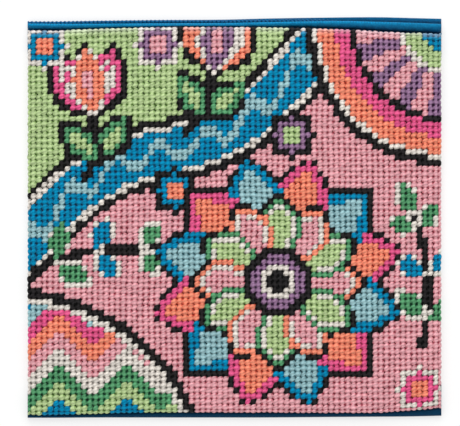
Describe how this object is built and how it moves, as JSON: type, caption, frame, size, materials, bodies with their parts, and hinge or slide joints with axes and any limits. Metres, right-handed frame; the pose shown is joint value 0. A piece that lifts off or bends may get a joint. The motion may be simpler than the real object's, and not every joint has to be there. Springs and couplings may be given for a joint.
{
  "type": "needlepoint canvas panel",
  "caption": "Flat panel of needlepoint worked in wool on canvas, with a closed zip along its top edge and a folded cloth strip along its lower edge.",
  "frame": {"origin": "on the surface that the panel lies on, under the middle of the whole piece", "axes": "+X runs to the right along the zip, +Y runs from the cloth strip up to the zip, +Z points out of the worked face"},
  "size_m": [0.1566, 0.1514, 0.0074],
  "materials": {
    "wool_pink": "matt tapestry wool in tent stitch",
    "wool_magenta": "matt tapestry wool in tent stitch",
    "wool_orange": "matt tapestry wool in tent stitch",
    "wool_lime": "matt tapestry wool in tent stitch",
    "wool_green": "matt tapestry wool in tent stitch",
    "wool_pale_blue": "matt tapestry wool in tent stitch",
    "wool_blue": "matt tapestry wool in tent stitch",
    "wool_purple": "matt tapestry wool in tent stitch",
    "wool_black": "matt tapestry wool in tent stitch",
    "wool_cream": "matt tapestry wool in tent stitch",
    "canvas": "stiff cotton canvas",
    "zip_tape": "woven polyester tape with a low sheen",
    "zip_coil": "satin nylon coil",
    "strip_cloth": "plain woven cotton"
  },
  "bodies": {
    "root": {"needlepoint_cloth": "wool_pink", "zip_tape_front": "zip_tape", "zip_tape_rear": "zip_tape", "zip_coil": "zip_coil", "lower_strip": "strip_cloth"}
  },
  "joints": []
}
